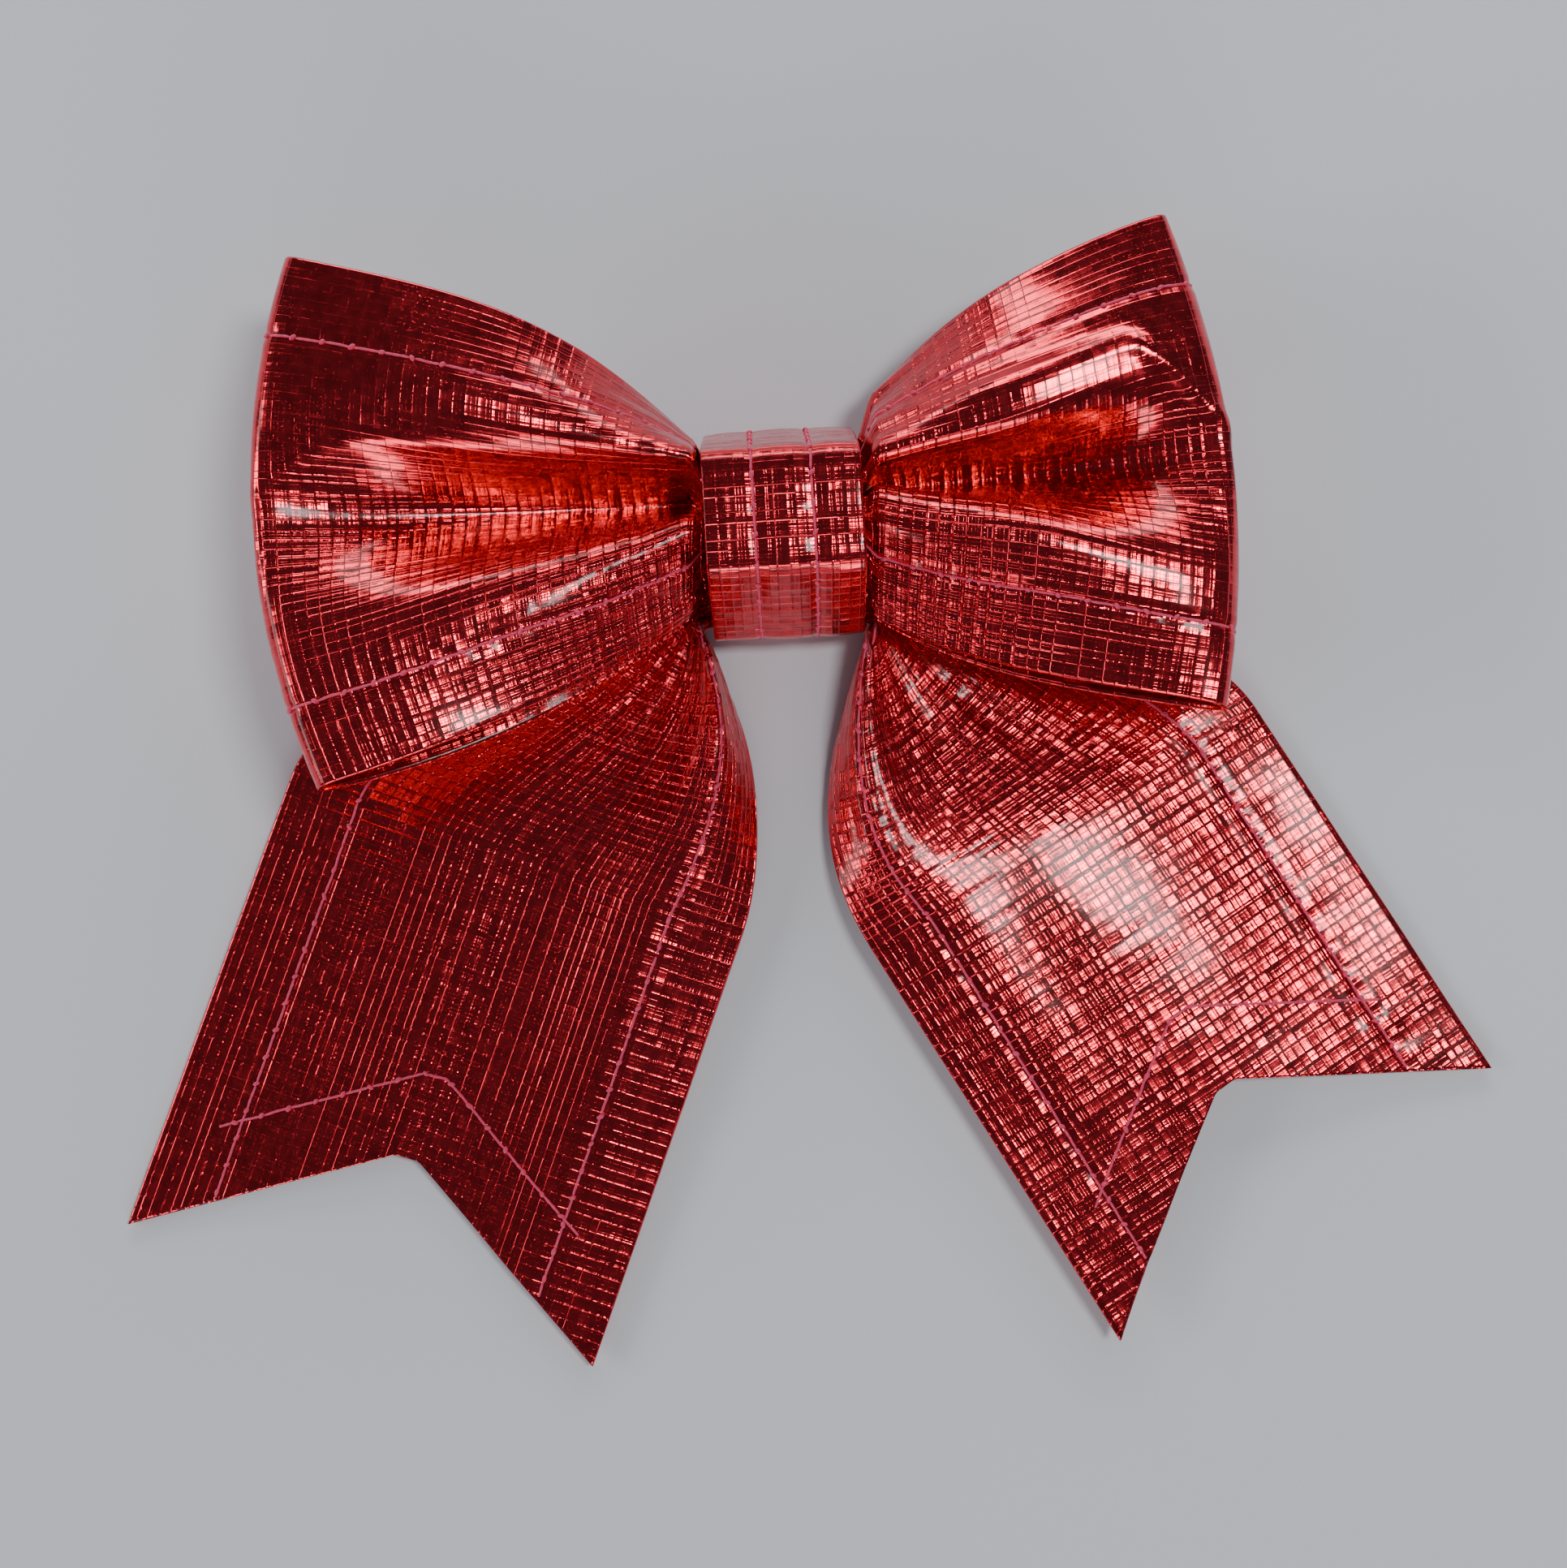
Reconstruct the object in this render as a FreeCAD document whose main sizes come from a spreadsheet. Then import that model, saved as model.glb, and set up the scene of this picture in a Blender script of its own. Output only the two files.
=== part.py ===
"""Pre-made gift bow: a wide hemmed ribbon, gathered in the middle and held by a narrow band.

The bow lies on its back. +X is to the right, +Y to the top and +Z to the front. The origin is
under the middle of the knot, on the face of the adhesive pad. Sizes are in millimetres.
"""
import FreeCAD, Part
import math
import os
import Sketcher

DIMENSIONS = [
    ("ribbon_width", 50.8, "width of the hemmed ribbon"),
    ("ribbon_thickness", 0.5, "thickness of the ribbon"),
    ("hem_width", 7.4, "distance of the hem stitching from the edge"),
    ("thread_diameter", 0.4, "sewing thread"),
    ("stitch_length", 2.4, "visible part of a stitch"),
    ("stitch_pitch", 3.0, "distance from stitch to stitch"),
    ("knot_width", 15.2, "width of the narrow band, along X"),
    ("knot_front_half", 6.3, "half height of the band at its front"),
    ("knot_back_half", 11.7, "half height of the band near its back"),
    ("knot_base_half", 8.6, "half height of the band at its back face"),
    ("knot_front", 19.4, "front of the band above the adhesive face"),
    ("knot_shoulder", 5.0, "height at which the band is widest"),
    ("knot_back", 1.5, "back of the band above the adhesive face"),
    ("knot_yaw", 3.5, "turn of the band about Z, degrees"),
    ("knot_row_offset", 2.9, "stitch rows of the band, each side of its middle"),
    ("band_thickness", 0.8, "folded band"),
    ("band_round", 2.2, "rounding of the band's turns"),
    ("waist_half_back", 7.2, "half height of the gathered middle at its back"),
    ("waist_half_front", 5.0, "half height of the gathered middle at its front"),
    ("waist_back", 2.7, "back of the gathered middle"),
    ("waist_split", 5.0, "between the tail strip and the loop strip in the knot"),
    ("waist_front", 17.6, "front of the gathered middle"),
    ("waist_length", 16.8, "length of the gathered middle, along X"),
    ("tie_width", 2.4, "width of the thread winding round the middle"),
    ("tie_thickness", 0.17, "height of the thread winding"),
    ("pad_size", 15.0, "side of the square foam pad"),
    ("pad_round", 2.0, "corner radius of the foam pad"),
    ("film_thickness", 0.15, "adhesive film under the foam pad"),
    ("glue_length", 10.0, "dab of glue on the band's overlap"),
    ("glue_width", 6.0, "dab of glue on the band's overlap"),
    ("glue_thickness", 0.2, "dab of glue on the band's overlap"),
    ("loop_root", 9.8, "where a loop leaves the knot, from the middle"),
    ("tail_root", 9.0, "where a tail leaves the knot, from the middle"),
    ("hinge_offset", 4.5, "bend line of a tail below the start of its straight part"),
    ("hinge_gap", 1.2, "clearance at the bend line of a tail"),
    ("notch_depth", 15.8, "depth of the dovetail cut"),
    ("end_row_gap", 9.0, "distance of the end stitching from the dovetail cut"),
]

# Feature lines of a loop, from its bottom edge to its top edge. Each has its place across the
# width (-1 to 1), its Y where it leaves the knot, how early it fans out (a power), a bow in Y,
# and its Z in the front layer and in the back layer, at the knot and halfway out.
LEFT_LOOP = {
    "side": -1, "centre": -1.3, "spread": 1.045, "reach": (52.5, 2.1, -4.9), "fold": (21.3, 13.6),
    "lines": [(-1.00, -9.6, 2.1, 2.4, (9.6, 17.4), (4.2, 6.6)),
              (-0.42, -1.6, 1.6, -0.4, (15.5, 19.0), (8.0, 7.2)),
              (-0.05, 2.9, 1.0, 0.4, (6.4, 11.0), (4.2, 4.8)),
              (0.38, 6.0, 1.1, 1.2, (15.5, 19.5), (8.0, 7.2)),
              (1.00, 10.4, 3.1, -2.8, (5.5, 18.0), (3.2, 5.8))]}
RIGHT_LOOP = {
    "side": 1, "centre": 6.25, "spread": 1.0, "reach": (45.8, -2.7, -3.7), "fold": (15.6, 8.0),
    "lines": [(-1.00, -9.5, 2.8, 1.9, (8.9, 12.2), (4.4, 5.0)),
              (-0.50, 1.8, 1.0, -0.2, (15.5, 16.8), (8.0, 5.6)),
              (0.02, 4.5, 1.0, 0.5, (6.4, 7.6), (3.4, 3.4)),
              (0.52, 6.6, 1.1, -1.6, (15.5, 17.2), (8.0, 5.6)),
              (1.00, 15.6, 2.4, -2.2, (5.6, 11.4), (3.2, 4.4))]}
FOLD_TIGHTNESS = 0.085         # roundness of the outer fold, as a share of the loop's length
HALFWAY_OUT = 0.45             # where the second height of a line is met, from the knot outward
EDGE_TUCK = 0.9                # how far the back edges draw inward at the knot
SECTION_STEPS = 60             # fineness of the curve across a loop

# A tail fans out from the knot to the start of its straight part. Y and heading (degrees from
# +X) of its inner and outer edges at the knot, and how far that heading pulls them; then the
# heading, middle and length of the straight part, and how much longer its outer edge is.
# Heights across the tail, inner edge first: at the knot, a third of the way, at the start of the
# straight part and at its end.
TAIL_PLACES = (-1.0, -0.68, -0.2, 0.35, 1.0)
LEFT_TAIL = {
    "side": -1, "root_y": (-10.1, -2.0), "root_heading": (-55, -171), "heading": -109.15,
    "middle": (-28.6, -33.9), "length": 48.5, "skew": 1.2, "tuck": 0.0, "pull": (9.3, 20.7),
    "settle": 10.7,
    "heights": [(3.0, 5.8, 3.4, 3.0, 2.8), (1.2, 6.0, 2.6, 1.4, 1.2),
                (1.6, 4.2, 1.2, 0.7, 0.4), (1.0, 0.9, 0.5, 0.4, 0.25)]}
RIGHT_TAIL = {
    "side": 1, "root_y": (-10.2, -1.5), "root_heading": (-111, -3), "heading": -57.6,
    "middle": (29.2, -31.7), "length": 46.2, "skew": -1.0, "tuck": 2.4, "pull": (19.5, 18.0),
    "settle": 9.0,
    "heights": [(3.0, 5.8, 3.4, 3.0, 2.8), (1.2, 6.0, 3.0, 1.8, 1.2),
                (3.4, 4.4, 3.6, 2.0, 0.4), (2.6, 2.2, 1.8, 1.0, 0.25)]}
TAIL_UNIT = 100.0              # length of straight part per unit of q
TAIL_THIRD = 0.35              # where the second row of heights is met
BUNCHING = 1.5                 # how much denser the ribbon lies at its inner edge at the knot
FANNING = 0.8                  # how soon the headings turn outward

doc = FreeCAD.newDocument("GiftBow")
sheet = doc.addObject("Spreadsheet::Sheet", "Dimensions")
for row, (alias, value, note) in enumerate(DIMENSIONS, start=1):
    sheet.set(f"A{row}", note)
    sheet.set(f"B{row}", str(value))
    sheet.setAlias(f"B{row}", alias)
doc.recompute()
SIZE = {alias: float(sheet.get(alias)) for alias, _, _ in DIMENSIONS}
NODES = []


# ---------------------------------------------------------------- curves and ribbon geometry

def mix(low, high, share):
    return low + (high - low) * share


def ease(share, power):
    return 1 - (1 - share) ** power


def through(points, x):
    """Height at x of a smooth curve through (x, y) points in rising order."""
    last = len(points) - 1
    index = 0
    while index < last - 1 and x > points[index + 1][0]:
        index += 1

    def slope(at):
        before, after = points[max(at - 1, 0)], points[min(at + 1, last)]
        return (after[1] - before[1]) / (after[0] - before[0])

    (x0, y0), (x1, y1) = points[index], points[index + 1]
    step = x1 - x0
    share = min(max((x - x0) / step, 0), 1)
    square, cube = share ** 2, share ** 3
    return ((2 * cube - 3 * square + 1) * y0 + (cube - 2 * square + share) * step * slope(index)
            + (3 * square - 2 * cube) * y1 + (cube - square) * step * slope(index + 1))


def run_lengths(points):
    lengths = [0.0]
    for start, end in zip(points, points[1:]):
        lengths.append(lengths[-1] + (end - start).Length)
    return lengths


def spot_on(points, lengths, distance):
    """Point of a polyline at a distance along it."""
    index = 0
    while index < len(points) - 2 and lengths[index + 1] < distance:
        index += 1
    step = lengths[index + 1] - lengths[index]
    return points[index] + (points[index + 1] - points[index]) * ((distance - lengths[index]) / step)


def even(points, shares):
    """Points of a polyline at the given shares (-1 to 1) of its length."""
    lengths = run_lengths(points)
    return [spot_on(points, lengths, (share + 1) / 2 * lengths[-1]) for share in shares]


def loop_section(loop, t, shares):
    """Middle of the ribbon across a loop; t is 1 at the knot in front, 0 at the outer fold and
    -1 at the knot behind."""
    out = 1 - abs(t)
    bend = math.hypot(t, FOLD_TIGHTNESS)
    turn = abs(t) / bend
    inward = (bend - FOLD_TIGHTNESS) / (math.hypot(1, FOLD_TIGHTNESS) - FOLD_TIGHTNESS)
    fold_middle = sum(loop["fold"]) / 2
    half_width = SIZE["ribbon_width"] / 2 * loop["spread"]
    places, heights, depths = [], [], []
    for index, (place, root, power, bow, front, back) in enumerate(loop["lines"]):
        end = loop["centre"] + half_width * place
        height = mix(root, end, ease(out, power)) + bow * math.sin(math.pi * out)
        if t < 0 and abs(place) == 1:
            height -= EDGE_TUCK * place * (1 - out) ** 3
        layer = front if t > 0 else back
        last = loop["fold"][0 if t > 0 else 1]
        depth = through([(0, layer[0]), (HALFWAY_OUT, layer[1]), (1, last)], out)
        spot = index / (len(loop["lines"]) - 1)
        places.append((spot, place))
        heights.append((spot, height))
        depths.append((spot, mix(fold_middle, depth, turn)))
    points = []
    for step in range(SECTION_STEPS + 1):
        spot = step / SECTION_STEPS
        place = through(places, spot)
        reach = sum(term * place ** power for power, term in enumerate(loop["reach"]))
        x = reach - (reach - SIZE["loop_root"]) * inward
        points.append(FreeCAD.Vector(loop["side"] * x, through(heights, spot), through(depths, spot)))
    return even(points, shares)


def tail_point(tail, q, place):
    """Middle of the ribbon of a tail: q is 0 at the knot and 1 at the start of the straight
    part; place is -1 at the inner edge and 1 at the outer edge."""
    heading = math.radians(tail["heading"])
    along = FreeCAD.Vector(math.cos(heading), math.sin(heading), 0)
    outward = FreeCAD.Vector(-along.y, along.x, 0) * tail["side"]
    share = (place + 1) / 2
    bunched = mix(share ** BUNCHING, share, min(q, 1))
    half_width = SIZE["ribbon_width"] / 2
    end = FreeCAD.Vector(*tail["middle"], 0)
    end += outward * (half_width * (2 * bunched - 1) + tail["tuck"] * (1 - share) ** 3)
    if q <= 1:
        root_y = mix(*tail["root_y"], bunched)
        start = FreeCAD.Vector(tail["side"] * SIZE["tail_root"], root_y, 0)
        turn = math.radians(mix(*tail["root_heading"], bunched ** FANNING))
        pull = FreeCAD.Vector(math.cos(turn), math.sin(turn), 0) * mix(*tail["pull"], share)
        stations = (start, start + pull, end - along * tail["settle"], end)
        weights = ((1 - q) ** 3, 3 * q * (1 - q) ** 2, 3 * q ** 2 * (1 - q), q ** 3)
        spot = FreeCAD.Vector()
        for station, weight in zip(stations, weights):
            spot += station * weight
    else:
        spot = end + along * ((q - 1) * TAIL_UNIT)
    last = 1 + tail["length"] / TAIL_UNIT
    columns = [through(list(zip(TAIL_PLACES, row)), place) for row in tail["heights"]]
    spot.z = through(list(zip((0, TAIL_THIRD, 1, last), columns)), q)
    return spot


def grid_normals(grid):
    """Unit normals of a grid of points, on the side of the finished face."""
    normals = []
    for i, line in enumerate(grid):
        before, after = grid[max(i - 1, 0)], grid[min(i + 1, len(grid) - 1)]
        row = []
        for j in range(len(line)):
            lengthwise = after[j] - before[j]
            crosswise = line[min(j + 1, len(line) - 1)] - line[max(j - 1, 0)]
            row.append(lengthwise.cross(crosswise).normalize())
        normals.append(row)
    return normals


def ribbon_solid(grid, flip):
    """Closed sheet, half its thickness on each side of a grid of points."""
    half = SIZE["ribbon_thickness"] / 2
    skins = []
    for shift in (half * flip, -half * flip):
        skin = Part.BSplineSurface()
        skin.interpolate([[spot + normal * shift for spot, normal in zip(line, normals)]
                          for line, normals in zip(grid, grid_normals(grid))])
        skins.append(skin)
    borders = [[skin.uIso(skin.bounds()[0]), skin.uIso(skin.bounds()[1]),
                skin.vIso(skin.bounds()[2]), skin.vIso(skin.bounds()[3])] for skin in skins]
    faces = [skin.toShape() for skin in skins]
    faces += [Part.makeRuledSurface(face.toShape(), back.toShape(), 1)
              for face, back in zip(*borders)]
    shell = Part.makeShell(faces)
    shell.sewShape(0.001)
    solid = Part.makeSolid(shell)
    if solid.Volume < 0:
        solid.reverse()
    return solid


def stitch_row(points, normals):
    """One visible stitch for every pitch along a line, half sunk in the finished face."""
    lengths = run_lengths(points)
    lift = SIZE["ribbon_thickness"] / 2
    count = int(lengths[-1] / SIZE["stitch_pitch"])
    margin = (lengths[-1] - (count - 1) * SIZE["stitch_pitch"] - SIZE["stitch_length"]) / 2
    stitches = []
    for index in range(count):
        first = margin + index * SIZE["stitch_pitch"]
        start = spot_on(points, lengths, first)
        end = spot_on(points, lengths, first + SIZE["stitch_length"])
        nearest = min(range(len(points)), key=lambda at: abs(lengths[at] - first))
        start = start + normals[nearest] * lift
        stitches.append(Part.makeCylinder(SIZE["thread_diameter"] / 2, SIZE["stitch_length"], start,
                                          end + normals[nearest] * lift - start))
    return Part.makeCompound(stitches)


# ---------------------------------------------------------------- document helpers

def keep_shape(label, shape):
    """A sub-part whose shape no sketch or primitive can make."""
    feature = doc.addObject("Part::Feature", label)
    feature.Label = label
    feature.Shape = shape
    feature.Placement = FreeCAD.Placement()
    NODES.append(feature)


def new_body(label):
    body = doc.addObject("PartDesign::Body", label)
    body.Label = label
    NODES.append(body)
    return body


def sketch_on(body, role, points):
    """Closed polygon in a sketch on one of the body's own origin planes."""
    sketch = body.newObject("Sketcher::SketchObject", body.Label + "_sketch")
    plane = next(item for item in body.Origin.OriginFeatures if item.Role == role)
    sketch.AttachmentSupport = [(plane, "")]
    sketch.MapMode = "FlatFace"
    corners = [FreeCAD.Vector(x, y, 0) for x, y in points]
    for start, end in zip(corners, corners[1:] + corners[:1]):
        sketch.addGeometry(Part.LineSegment(start, end), False)
    for index in range(len(corners)):
        following = (index + 1) % len(corners)
        sketch.addConstraint(Sketcher.Constraint("Coincident", index, 2, following, 1))
    return sketch


def pad(body, sketch, length, both_ways=False):
    feature = body.newObject("PartDesign::Pad", body.Label + "_pad")
    feature.Profile = sketch
    feature.setExpression("Length", length)
    if both_ways:
        feature.SideType = "Symmetric"
    sketch.Visibility = False
    doc.recompute()
    return feature


def pocket_through(body, sketch):
    """Cuts a sketch through the body both ways, and makes sure that it removed something."""
    before = body.Shape.Volume
    feature = body.newObject("PartDesign::Pocket", body.Label + "_pocket")
    feature.Profile = sketch
    feature.Type = "ThroughAll"
    feature.SideType = "Symmetric"
    doc.recompute()
    if body.Shape.Volume >= before:
        raise RuntimeError(body.Label + ": the pocket removed nothing")
    return feature


def round_edges(body, base, radius, wanted):
    """Fillet on the edges of the base feature for which wanted(edge) is true."""
    names = [f"Edge{n}" for n, edge in enumerate(base.Shape.Edges, start=1) if wanted(edge)]
    feature = body.newObject("PartDesign::Fillet", body.Label + "_fillet")
    feature.Base = (base, names)
    feature.setExpression("Radius", radius)
    doc.recompute()
    return feature


def runs_along(edge, axis):
    first, last = edge.Vertexes[0].Point, edge.Vertexes[-1].Point
    return abs(abs((last - first).normalize().dot(axis)) - 1) < 1e-6


# ---------------------------------------------------------------- the knot

def band_outline(inset):
    """Half profile of the band mirrored about its middle, as (Y, Z) corners."""
    base, shoulder, front = (SIZE["knot_base_half"] - inset / 2, SIZE["knot_back_half"] - inset,
                             SIZE["knot_front_half"] - inset)
    half = [(base, SIZE["knot_back"] + inset), (shoulder, SIZE["knot_shoulder"]),
            (front, SIZE["knot_front"] - inset)]
    return [(-y, z) for y, z in half] + half[::-1]


def build_band():
    """Folded strip wrapped round the gathered middle."""
    body = new_body("knot_band")
    solid = pad(body, sketch_on(body, "YZ_Plane", band_outline(0)), "Dimensions.knot_width", True)
    round_edges(body, solid, "Dimensions.band_round",
                lambda edge: runs_along(edge, FreeCAD.Vector(1, 0, 0)))
    pocket_through(body, sketch_on(body, "YZ_Plane", band_outline(SIZE["band_thickness"])))
    turn = FreeCAD.Rotation(FreeCAD.Vector(0, 0, 1), SIZE["knot_yaw"])
    body.Placement = FreeCAD.Placement(FreeCAD.Vector(), turn)


def build_band_stitching():
    """Two rows of stitches down the front of the band."""
    front = SIZE["knot_front"]
    reach = SIZE["knot_front_half"] - SIZE["band_round"] / 2
    turn = FreeCAD.Rotation(FreeCAD.Vector(0, 0, 1), SIZE["knot_yaw"])
    sunk = FreeCAD.Vector(0, 0, front - SIZE["ribbon_thickness"] / 2)
    for label, x in (("knot_left_stitching", -SIZE["knot_row_offset"]),
                     ("knot_right_stitching", SIZE["knot_row_offset"])):
        line = [turn.multVec(FreeCAD.Vector(x, y, 0)) + sunk for y in (-reach, 0, reach)]
        keep_shape(label, stitch_row(line, [FreeCAD.Vector(0, 0, 1)] * len(line)))


def waist_half(z):
    share = (z - SIZE["waist_back"]) / (SIZE["waist_front"] - SIZE["waist_back"])
    return mix(SIZE["waist_half_back"], SIZE["waist_half_front"], share)


def waist_outline(low, high, grow=0.0):
    wide, narrow = waist_half(low) + grow, waist_half(high) + grow
    return [(-wide, low - grow), (wide, low - grow), (narrow, high + grow), (-narrow, high + grow)]


def build_waist():
    """Gathered middles of the tail strip and the loop strip, and the thread wound round them."""
    split = SIZE["waist_split"]
    for label, low, high in (("tail_waist", SIZE["waist_back"], split),
                             ("loop_waist", split, SIZE["waist_front"])):
        body = new_body(label)
        pad(body, sketch_on(body, "YZ_Plane", waist_outline(low, high)),
            "Dimensions.waist_length", True)
    tie = new_body("waist_tie")
    low, high = SIZE["waist_back"], SIZE["waist_front"]
    pad(tie, sketch_on(tie, "YZ_Plane", waist_outline(low, high, SIZE["tie_thickness"])),
        "Dimensions.tie_width", True)
    pocket_through(tie, sketch_on(tie, "YZ_Plane", waist_outline(low, high)))


def build_back():
    """Glue on the band's overlap, foam pad and its adhesive film, from the front backwards."""
    def rectangle(length, width):
        x, y = length / 2, width / 2
        return [(-x, -y), (x, -y), (x, y), (-x, y)]

    def slab(label, outline, height, level):
        body = new_body(label)
        solid = pad(body, sketch_on(body, "XY_Plane", outline), height)
        body.setExpression("Placement.Base.z", level)
        return body, solid

    size = SIZE["pad_size"]
    along_z = FreeCAD.Vector(0, 0, 1)
    band_inside = "Dimensions.knot_back + Dimensions.band_thickness"
    slab("knot_glue", rectangle(SIZE["glue_length"], SIZE["glue_width"]),
         "Dimensions.glue_thickness", band_inside)
    for label, height, level in (
            ("foam_pad", "Dimensions.knot_back - Dimensions.film_thickness",
             "Dimensions.film_thickness"),
            ("pad_adhesive", "Dimensions.film_thickness", "0")):
        body, solid = slab(label, rectangle(size, size), height, level)
        round_edges(body, solid, "Dimensions.pad_round", lambda edge: runs_along(edge, along_z))


# ---------------------------------------------------------------- loops and tails

def hem_place():
    """Place across the ribbon, 0 to 1, of the hem stitching."""
    return 1 - 2 * SIZE["hem_width"] / SIZE["ribbon_width"]


def spread(count, first=-1.0, last=1.0):
    return [mix(first, last, step / (count - 1)) for step in range(count)]


def build_loop(name, loop):
    """Ribbon of one loop, out in front, round the fold and back behind, and its hem stitching."""
    def stations(count):
        """Values of t from the knot in front to the knot behind, closer together at the fold."""
        return [math.copysign(abs(step) ** 1.6, step) for step in spread(count, 1.0, -1.0)]

    flip = loop["side"]
    places = spread(17)
    grid = [loop_section(loop, t, places) for t in stations(29)]
    keep_shape(name + "_ribbon", ribbon_solid(grid, flip))
    for row, place in (("top", hem_place()), ("bottom", -hem_place())):
        nearby = (place - 0.04, place, place + 0.04)
        lanes = [loop_section(loop, t, nearby) for t in stations(121)]
        normals = [row_normals[1] * flip for row_normals in grid_normals(lanes)]
        keep_shape(f"{name}_{row}_stitching", stitch_row([lane[1] for lane in lanes], normals))


def tail_end(tail, place):
    """The q at which the dovetail cuts the ribbon."""
    notch = SIZE["notch_depth"] * (1 - abs(place))
    return 1 + (tail["length"] + tail["skew"] * place - notch) / TAIL_UNIT


def notch_tool(tail):
    """Upright prism that leaves the dovetail when it is cut from the end of a tail."""
    oversize, deep, tall, beyond = 1.2, -10.0, 30.0, 40.0
    heading = math.radians(tail["heading"])
    along = FreeCAD.Vector(math.cos(heading), math.sin(heading), 0)
    outward = FreeCAD.Vector(-along.y, along.x, 0) * tail["side"]
    half_width = SIZE["ribbon_width"] / 2

    def end_spot(place):
        distance = (tail_end(tail, place) - 1) * TAIL_UNIT
        return (FreeCAD.Vector(*tail["middle"], deep) + outward * (half_width * place)
                + along * distance)

    point = end_spot(0)
    sides = [point + (end_spot(place) - point) * oversize for place in (1, -1)]
    far = [side + along * beyond for side in sides]
    outline = Part.makePolygon([point, sides[0], far[0], far[1], sides[1], point])
    return Part.Face(outline).extrude(FreeCAD.Vector(0, 0, tall))


def build_tail(name, tail):
    """One tail: the neck held by the knot, the free blade with its dovetail, and the stitching."""
    hinge = 1 + SIZE["hinge_offset"] / TAIL_UNIT
    gap = SIZE["hinge_gap"] / 2 / TAIL_UNIT
    last = 1 + (tail["length"] + abs(tail["skew"])) / TAIL_UNIT
    flip = tail["side"]
    places = spread(17)
    neck = [[tail_point(tail, q, place) for place in places] for q in spread(13, 0, hinge - gap)]
    blade = [[tail_point(tail, q, place) for place in places] for q in spread(7, hinge + gap, last)]
    keep_shape(name + "_tail_neck", ribbon_solid(neck, flip))
    keep_shape(name + "_tail_ribbon", ribbon_solid(blade, flip).cut(notch_tool(tail)))

    def row_on(q_low, q_high, place):
        nearby = (place - 0.03, place, place + 0.03)
        lanes = [[tail_point(tail, q, at) for at in nearby] for q in spread(81, q_low, q_high)]
        normals = [lane[1] * flip for lane in grid_normals(lanes)]
        return [lane[1] for lane in lanes], normals

    end_margin = 0.01
    neck_start = 0.03
    for row, place in (("inner", -hem_place()), ("outer", hem_place())):
        keep_shape(f"{name}_neck_{row}_stitching",
                   stitch_row(*row_on(neck_start, hinge - gap, place)))
        keep_shape(f"{name}_tail_{row}_stitching",
                   stitch_row(*row_on(hinge + gap, tail_end(tail, place) - end_margin, place)))

    # the end stitching follows the dovetail at a fixed distance above it
    upright = FreeCAD.Vector(0, 0, 1)
    halves = []
    for direction in (-1, 1):
        line = [tail_point(tail, tail_end(tail, at) - SIZE["end_row_gap"] / TAIL_UNIT, at)
                for at in spread(41, 0.02 * direction, 0.78 * direction)]
        halves.append(stitch_row(line, [upright] * len(line)))
    keep_shape(name + "_tail_end_stitching", Part.makeCompound(halves[0].Solids + halves[1].Solids))


# ---------------------------------------------------------------- build, check and write

build_band()
build_band_stitching()
build_waist()
build_back()
build_loop("left_loop", LEFT_LOOP)
build_loop("right_loop", RIGHT_LOOP)
build_tail("left", LEFT_TAIL)
build_tail("right", RIGHT_TAIL)
doc.recompute()

for item in doc.Objects:
    if "Invalid" in item.State or "Error" in item.State:
        raise RuntimeError(f"{item.Name} failed: {item.State}")
for node in NODES:
    if node.Shape.isNull() or not node.Shape.isValid():
        raise RuntimeError(f"{node.Label} has no valid shape")

os.makedirs("parts", exist_ok=True)
for node in NODES:
    node.Shape.exportStep(f"parts/{node.Label}.step")
    box = node.Shape.BoundBox
    print(f"{node.Label:32s} {node.Shape.Volume:9.1f} mm3  X {box.XMin:6.1f} {box.XMax:6.1f}"
          f"  Y {box.YMin:6.1f} {box.YMax:6.1f}  Z {box.ZMin:6.2f} {box.ZMax:6.2f}")
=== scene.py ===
"""Looks of the pre-made gift bow: hemmed foil ribbon, sewing thread, knot band and adhesive pad.

The shapes are worked out in millimetres, in the same frame as the CAD part, and scaled to metres
when a mesh is made. The finished face of a ribbon is foil; its back is the woven ground.
"""
import math

import bpy
import numpy as np
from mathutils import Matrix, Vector


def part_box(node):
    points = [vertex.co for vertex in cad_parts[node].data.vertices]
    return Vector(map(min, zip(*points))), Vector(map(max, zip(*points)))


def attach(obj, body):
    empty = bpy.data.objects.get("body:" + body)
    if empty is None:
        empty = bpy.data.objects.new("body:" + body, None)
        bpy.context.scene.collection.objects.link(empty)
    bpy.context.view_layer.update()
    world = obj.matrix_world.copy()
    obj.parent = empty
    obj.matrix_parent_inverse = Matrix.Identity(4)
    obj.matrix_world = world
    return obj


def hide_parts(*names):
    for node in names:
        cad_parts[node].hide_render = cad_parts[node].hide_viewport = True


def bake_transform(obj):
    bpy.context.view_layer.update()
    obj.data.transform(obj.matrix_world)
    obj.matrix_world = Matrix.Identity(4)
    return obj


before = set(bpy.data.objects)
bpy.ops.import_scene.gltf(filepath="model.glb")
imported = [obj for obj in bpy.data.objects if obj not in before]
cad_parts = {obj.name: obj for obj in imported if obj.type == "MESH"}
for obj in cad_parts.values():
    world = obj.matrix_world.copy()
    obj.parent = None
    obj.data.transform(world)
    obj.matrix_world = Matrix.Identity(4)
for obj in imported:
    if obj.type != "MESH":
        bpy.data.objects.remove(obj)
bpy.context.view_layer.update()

MM = 0.001

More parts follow.
